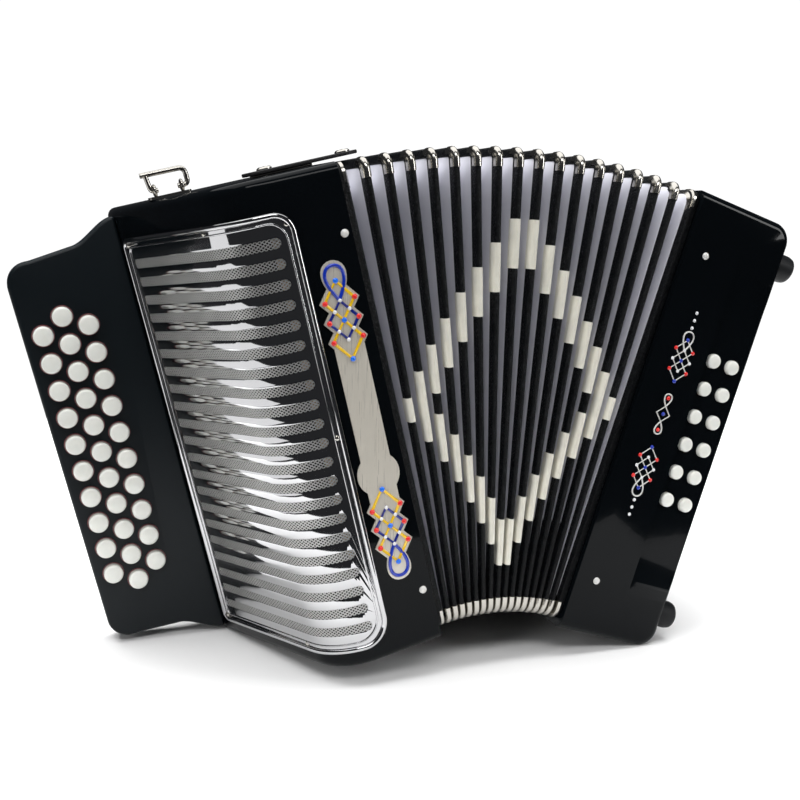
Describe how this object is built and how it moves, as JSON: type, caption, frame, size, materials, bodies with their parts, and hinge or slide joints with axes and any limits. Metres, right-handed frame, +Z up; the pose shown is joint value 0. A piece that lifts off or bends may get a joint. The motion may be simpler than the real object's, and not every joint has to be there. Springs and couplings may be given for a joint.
{
  "type": "button accordion",
  "caption": "Diatonic button accordion standing on its two ends with the bellows fanned open; both end boxes, the bellows, the strap bail and every button move.",
  "frame": {"origin": "middle of the base of the bounding box, on the surface that the outer bottom edges of both boxes stand on", "axes": "+X from the treble box to the bass box, +Y from the front with the grille to the back, +Z up"},
  "size_m": [0.5396, 0.1914, 0.3506],
  "materials": {
    "gloss_black": "polished black lacquer",
    "satin_black": "satin black",
    "chrome": "mirror-bright plated sheet",
    "nickel": "polished nickel plate",
    "pearl": "polished pearl white",
    "bellows_card": "cloth-covered card with grained tape",
    "leather": "black grained leather",
    "foot_rubber": "matte black rubber",
    "reed_wood": "plain maple"
  },
  "bodies": {
    "treble": {"treble_casing": "gloss_black", "treble_bellows_frame": "bellows_card", "grille": "chrome", "fingerboard": "satin_black", "treble_reed_block": "reed_wood", "strap_bail_bracket": "nickel", "bellows_strap": "leather"},
    "bellows_middle": {"bellows_left": "bellows_card", "bellows_right": "bellows_card"},
    "bass": {"bass_casing": "gloss_black", "bass_bellows_frame": "bellows_card", "bass_reed_block": "reed_wood", "bass_strap": "leather", "bass_foot_lower": "foot_rubber", "bass_foot_upper": "foot_rubber"},
    "strap_bail": {"strap_bail": "nickel"},
    "air_button": {"air_button": "satin_black"},
    "treble_button_inner_01": {"treble_button_inner_01": "pearl"},
    "treble_button_inner_02": {"treble_button_inner_02": "pearl"},
    "treble_button_inner_03": {"treble_button_inner_03": "pearl"},
    "treble_button_inner_04": {"treble_button_inner_04": "pearl"},
    "treble_button_inner_05": {"treble_button_inner_05": "pearl"},
    "treble_button_inner_06": {"treble_button_inner_06": "pearl"},
    "treble_button_inner_07": {"treble_button_inner_07": "pearl"},
    "treble_button_inner_08": {"treble_button_inner_08": "pearl"},
    "treble_button_inner_09": {"treble_button_inner_09": "pearl"},
    "treble_button_inner_10": {"treble_button_inner_10": "pearl"},
    "treble_button_middle_01": {"treble_button_middle_01": "pearl"},
    "treble_button_middle_02": {"treble_button_middle_02": "pearl"},
    "treble_button_middle_03": {"treble_button_middle_03": "pearl"},
    "treble_button_middle_04": {"treble_button_middle_04": "pearl"},
    "treble_button_middle_05": {"treble_button_middle_05": "pearl"},
    "treble_button_middle_06": {"treble_button_middle_06": "pearl"},
    "treble_button_middle_07": {"treble_button_middle_07": "pearl"},
    "treble_button_middle_08": {"treble_button_middle_08": "pearl"},
    "treble_button_middle_09": {"treble_button_middle_09": "pearl"},
    "treble_button_middle_10": {"treble_button_middle_10": "pearl"},
    "treble_button_middle_11": {"treble_button_middle_11": "pearl"},
    "treble_button_outer_01": {"treble_button_outer_01": "pearl"},
    "treble_button_outer_02": {"treble_button_outer_02": "pearl"},
    "treble_button_outer_03": {"treble_button_outer_03": "pearl"},
    "treble_button_outer_04": {"treble_button_outer_04": "pearl"},
    "treble_button_outer_05": {"treble_button_outer_05": "pearl"},
    "treble_button_outer_06": {"treble_button_outer_06": "pearl"},
    "treble_button_outer_07": {"treble_button_outer_07": "pearl"},
    "treble_button_outer_08": {"treble_button_outer_08": "pearl"},
    "treble_button_outer_09": {"treble_button_outer_09": "pearl"},
    "treble_button_outer_10": {"treble_button_outer_10": "pearl"},
    "bass_button_inner_01": {"bass_button_inner_01": "pearl"},
    "bass_button_inner_02": {"bass_button_inner_02": "pearl"},
    "bass_button_inner_03": {"bass_button_inner_03": "pearl"},
    "bass_button_inner_04": {"bass_button_inner_04": "pearl"},
    "bass_button_inner_05": {"bass_button_inner_05": "pearl"},
    "bass_button_inner_06": {"bass_button_inner_06": "pearl"},
    "bass_button_outer_01": {"bass_button_outer_01": "pearl"},
    "bass_button_outer_02": {"bass_button_outer_02": "pearl"},
    "bass_button_outer_03": {"bass_button_outer_03": "pearl"},
    "bass_button_outer_04": {"bass_button_outer_04": "pearl"},
    "bass_button_outer_05": {"bass_button_outer_05": "pearl"},
    "bass_button_outer_06": {"bass_button_outer_06": "pearl"}
  },
  "joints": [
    {"name": "bellows_fan_bass", "type": "hinge", "parent": "bellows_middle", "child": "bass", "pos_m": [0.05798, -0.09435, 0.02954], "axis": [0, 1, 0], "range_deg": [-16, 9], "deforming": ["bellows_right"]},
    {"name": "bellows_fan_treble", "type": "hinge", "parent": "treble", "child": "bellows_middle", "pos_m": [0.01737, -0.09435, 0.03154], "axis": [0, 1, 0], "range_deg": [-16, 9], "deforming": ["bellows_left"]},
    {"name": "strap_bail_swing", "type": "hinge", "parent": "treble", "child": "strap_bail", "pos_m": [-0.15889, -0.00435, 0.32553], "axis": [0.9736, 0, 0.2281], "range_deg": [-80, 80]},
    {"name": "air_button_press", "type": "slide", "parent": "bass", "child": "air_button", "axis": [-0.9466, 0, 0.3226], "range_m": [0, 0.005], "stiffness_N_per_m": 220},
    {"name": "treble_button_inner_01_press", "type": "slide", "parent": "treble", "child": "treble_button_inner_01", "axis": [0, 1, 0], "range_m": [0, 0.0045], "stiffness_N_per_m": 160},
    {"name": "treble_button_inner_02_press", "type": "slide", "parent": "treble", "child": "treble_button_inner_02", "axis": [0, 1, 0], "range_m": [0, 0.0045], "stiffness_N_per_m": 160},
    {"name": "treble_button_inner_03_press", "type": "slide", "parent": "treble", "child": "treble_button_inner_03", "axis": [0, 1, 0], "range_m": [0, 0.0045], "stiffness_N_per_m": 160},
    {"name": "treble_button_inner_04_press", "type": "slide", "parent": "treble", "child": "treble_button_inner_04", "axis": [0, 1, 0], "range_m": [0, 0.0045], "stiffness_N_per_m": 160},
    {"name": "treble_button_inner_05_press", "type": "slide", "parent": "treble", "child": "treble_button_inner_05", "axis": [0, 1, 0], "range_m": [0, 0.0045], "stiffness_N_per_m": 160},
    {"name": "treble_button_inner_06_press", "type": "slide", "parent": "treble", "child": "treble_button_inner_06", "axis": [0, 1, 0], "range_m": [0, 0.0045], "stiffness_N_per_m": 160},
    {"name": "treble_button_inner_07_press", "type": "slide", "parent": "treble", "child": "treble_button_inner_07", "axis": [0, 1, 0], "range_m": [0, 0.0045], "stiffness_N_per_m": 160},
    {"name": "treble_button_inner_08_press", "type": "slide", "parent": "treble", "child": "treble_button_inner_08", "axis": [0, 1, 0], "range_m": [0, 0.0045], "stiffness_N_per_m": 160},
    {"name": "treble_button_inner_09_press", "type": "slide", "parent": "treble", "child": "treble_button_inner_09", "axis": [0, 1, 0], "range_m": [0, 0.0045], "stiffness_N_per_m": 160},
    {"name": "treble_button_inner_10_press", "type": "slide", "parent": "treble", "child": "treble_button_inner_10", "axis": [0, 1, 0], "range_m": [0, 0.0045], "stiffness_N_per_m": 160},
    {"name": "treble_button_middle_01_press", "type": "slide", "parent": "treble", "child": "treble_button_middle_01", "axis": [0, 1, 0], "range_m": [0, 0.0045], "stiffness_N_per_m": 160},
    {"name": "treble_button_middle_02_press", "type": "slide", "parent": "treble", "child": "treble_button_middle_02", "axis": [0, 1, 0], "range_m": [0, 0.0045], "stiffness_N_per_m": 160},
    {"name": "treble_button_middle_03_press", "type": "slide", "parent": "treble", "child": "treble_button_middle_03", "axis": [0, 1, 0], "range_m": [0, 0.0045], "stiffness_N_per_m": 160},
    {"name": "treble_button_middle_04_press", "type": "slide", "parent": "treble", "child": "treble_button_middle_04", "axis": [0, 1, 0], "range_m": [0, 0.0045], "stiffness_N_per_m": 160},
    {"name": "treble_button_middle_05_press", "type": "slide", "parent": "treble", "child": "treble_button_middle_05", "axis": [0, 1, 0], "range_m": [0, 0.0045], "stiffness_N_per_m": 160},
    {"name": "treble_button_middle_06_press", "type": "slide", "parent": "treble", "child": "treble_button_middle_06", "axis": [0, 1, 0], "range_m": [0, 0.0045], "stiffness_N_per_m": 160},
    {"name": "treble_button_middle_07_press", "type": "slide", "parent": "treble", "child": "treble_button_middle_07", "axis": [0, 1, 0], "range_m": [0, 0.0045], "stiffness_N_per_m": 160},
    {"name": "treble_button_middle_08_press", "type": "slide", "parent": "treble", "child": "treble_button_middle_08", "axis": [0, 1, 0], "range_m": [0, 0.0045], "stiffness_N_per_m": 160},
    {"name": "treble_button_middle_09_press", "type": "slide", "parent": "treble", "child": "treble_button_middle_09", "axis": [0, 1, 0], "range_m": [0, 0.0045], "stiffness_N_per_m": 160},
    {"name": "treble_button_middle_10_press", "type": "slide", "parent": "treble", "child": "treble_button_middle_10", "axis": [0, 1, 0], "range_m": [0, 0.0045], "stiffness_N_per_m": 160},
    {"name": "treble_button_middle_11_press", "type": "slide", "parent": "treble", "child": "treble_button_middle_11", "axis": [0, 1, 0], "range_m": [0, 0.0045], "stiffness_N_per_m": 160},
    {"name": "treble_button_outer_01_press", "type": "slide", "parent": "treble", "child": "treble_button_outer_01", "axis": [0, 1, 0], "range_m": [0, 0.0045], "stiffness_N_per_m": 160},
    {"name": "treble_button_outer_02_press", "type": "slide", "parent": "treble", "child": "treble_button_outer_02", "axis": [0, 1, 0], "range_m": [0, 0.0045], "stiffness_N_per_m": 160},
    {"name": "treble_button_outer_03_press", "type": "slide", "parent": "treble", "child": "treble_button_outer_03", "axis": [0, 1, 0], "range_m": [0, 0.0045], "stiffness_N_per_m": 160},
    {"name": "treble_button_outer_04_press", "type": "slide", "parent": "treble", "child": "treble_button_outer_04", "axis": [0, 1, 0], "range_m": [0, 0.0045], "stiffness_N_per_m": 160},
    {"name": "treble_button_outer_05_press", "type": "slide", "parent": "treble", "child": "treble_button_outer_05", "axis": [0, 1, 0], "range_m": [0, 0.0045], "stiffness_N_per_m": 160},
    {"name": "treble_button_outer_06_press", "type": "slide", "parent": "treble", "child": "treble_button_outer_06", "axis": [0, 1, 0], "range_m": [0, 0.0045], "stiffness_N_per_m": 160},
    {"name": "treble_button_outer_07_press", "type": "slide", "parent": "treble", "child": "treble_button_outer_07", "axis": [0, 1, 0], "range_m": [0, 0.0045], "stiffness_N_per_m": 160},
    {"name": "treble_button_outer_08_press", "type": "slide", "parent": "treble", "child": "treble_button_outer_08", "axis": [0, 1, 0], "range_m": [0, 0.0045], "stiffness_N_per_m": 160},
    {"name": "treble_button_outer_09_press", "type": "slide", "parent": "treble", "child": "treble_button_outer_09", "axis": [0, 1, 0], "range_m": [0, 0.0045], "stiffness_N_per_m": 160},
    {"name": "treble_button_outer_10_press", "type": "slide", "parent": "treble", "child": "treble_button_outer_10", "axis": [0, 1, 0], "range_m": [0, 0.0045], "stiffness_N_per_m": 160},
    {"name": "bass_button_inner_01_press", "type": "slide", "parent": "bass", "child": "bass_button_inner_01", "axis": [0, 1, 0], "range_m": [0, 0.0032], "stiffness_N_per_m": 160},
    {"name": "bass_button_inner_02_press", "type": "slide", "parent": "bass", "child": "bass_button_inner_02", "axis": [0, 1, 0], "range_m": [0, 0.0032], "stiffness_N_per_m": 160},
    {"name": "bass_button_inner_03_press", "type": "slide", "parent": "bass", "child": "bass_button_inner_03", "axis": [0, 1, 0], "range_m": [0, 0.0032], "stiffness_N_per_m": 160},
    {"name": "bass_button_inner_04_press", "type": "slide", "parent": "bass", "child": "bass_button_inner_04", "axis": [0, 1, 0], "range_m": [0, 0.0032], "stiffness_N_per_m": 160},
    {"name": "bass_button_inner_05_press", "type": "slide", "parent": "bass", "child": "bass_button_inner_05", "axis": [0, 1, 0], "range_m": [0, 0.0032], "stiffness_N_per_m": 160},
    {"name": "bass_button_inner_06_press", "type": "slide", "parent": "bass", "child": "bass_button_inner_06", "axis": [0, 1, 0], "range_m": [0, 0.0032], "stiffness_N_per_m": 160},
    {"name": "bass_button_outer_01_press", "type": "slide", "parent": "bass", "child": "bass_button_outer_01", "axis": [0, 1, 0], "range_m": [0, 0.0032], "stiffness_N_per_m": 160},
    {"name": "bass_button_outer_02_press", "type": "slide", "parent": "bass", "child": "bass_button_outer_02", "axis": [0, 1, 0], "range_m": [0, 0.0032], "stiffness_N_per_m": 160},
    {"name": "bass_button_outer_03_press", "type": "slide", "parent": "bass", "child": "bass_button_outer_03", "axis": [0, 1, 0], "range_m": [0, 0.0032], "stiffness_N_per_m": 160},
    {"name": "bass_button_outer_04_press", "type": "slide", "parent": "bass", "child": "bass_button_outer_04", "axis": [0, 1, 0], "range_m": [0, 0.0032], "stiffness_N_per_m": 160},
    {"name": "bass_button_outer_05_press", "type": "slide", "parent": "bass", "child": "bass_button_outer_05", "axis": [0, 1, 0], "range_m": [0, 0.0032], "stiffness_N_per_m": 160},
    {"name": "bass_button_outer_06_press", "type": "slide", "parent": "bass", "child": "bass_button_outer_06", "axis": [0, 1, 0], "range_m": [0, 0.0032], "stiffness_N_per_m": 160}
  ],
  "couplings": [
    {"joint": "bellows_fan_treble", "follows": "bellows_fan_bass", "ratio": 1}
  ]
}
